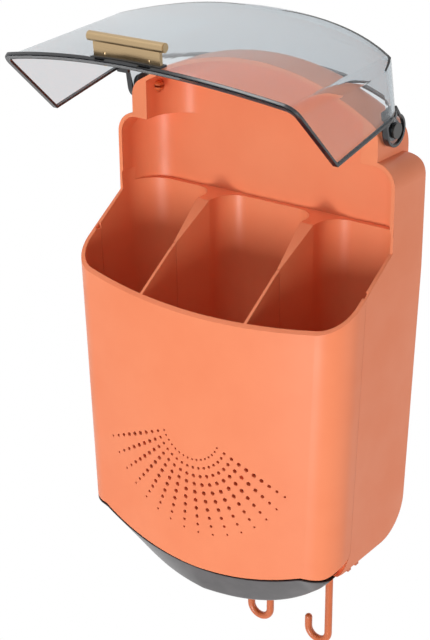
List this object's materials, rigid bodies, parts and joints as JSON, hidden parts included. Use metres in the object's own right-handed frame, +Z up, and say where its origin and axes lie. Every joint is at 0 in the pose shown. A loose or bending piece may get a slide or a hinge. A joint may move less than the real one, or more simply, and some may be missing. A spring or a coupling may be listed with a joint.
{
  "type": "wall chopstick holder",
  "caption": "Wall-hung chopstick and cutlery caddy with divided wells, bowed front, flip-up smoky hood, pull-out drip tray and sliding hooks.",
  "frame": {"origin": "centre of the wall plate on the wall surface, at the height of the rim where front shell and rear housing meet", "axes": "+Z up, +Y into the wall, front of the holder towards -Y"},
  "size_m": [0.2, 0.1523, 0.4029],
  "materials": {
    "coral_plastic": "satin injection-moulded",
    "smoke_clear": "polished transparent, smoke tinted",
    "champagne_metal": "satin champagne anodised",
    "dark_plastic": "fine matt",
    "smoke_tray": "polished dark smoke",
    "hook_plastic": "satin",
    "zinc_steel": "zinc plated",
    "pad_rubber": "matt",
    "white_plastic": "matt",
    "foam_pad": "matt foam"
  },
  "bodies": {
    "wall mount": {"wall_plate": "white_plastic", "adhesive_pad": "foam_pad"},
    "holder": {"rear_housing": "coral_plastic", "front_shell": "coral_plastic", "shell_screws": "zinc_steel", "wall_pads": "pad_rubber", "hinge_pin_left": "hook_plastic", "hinge_pin_right": "hook_plastic", "hinge_washer_left": "dark_plastic", "hinge_washer_right": "dark_plastic", "hook_rail": "hook_plastic", "rail_screws": "zinc_steel"},
    "lid": {"lid": "smoke_clear", "pull_rail": "dark_plastic", "lid_pull": "champagne_metal"},
    "drip tray": {"drip_tray": "smoke_tray"},
    "middle hook": {"hook_middle": "hook_plastic"},
    "right hook": {"hook_right": "hook_plastic"}
  },
  "joints": [
    {"name": "holder_lift", "type": "slide", "parent": "wall mount", "child": "holder", "axis": [0, 0, 1], "range_m": [0, 0.013]},
    {"name": "lid_hinge", "type": "hinge", "parent": "holder", "child": "lid", "pos_m": [0, -0.0305, 0.0865], "axis": [1, 0, 0], "range_deg": [0, 78]},
    {"name": "tray_slide", "type": "slide", "parent": "holder", "child": "drip tray", "axis": [0, -1, 0], "range_m": [0, 0.044]},
    {"name": "middle_hook_slide", "type": "slide", "parent": "holder", "child": "middle hook", "axis": [1, 0, 0], "range_m": [-0.094, 0.012]},
    {"name": "right_hook_slide", "type": "slide", "parent": "holder", "child": "right hook", "axis": [1, 0, 0], "range_m": [-0.012, 0.003]}
  ]
}
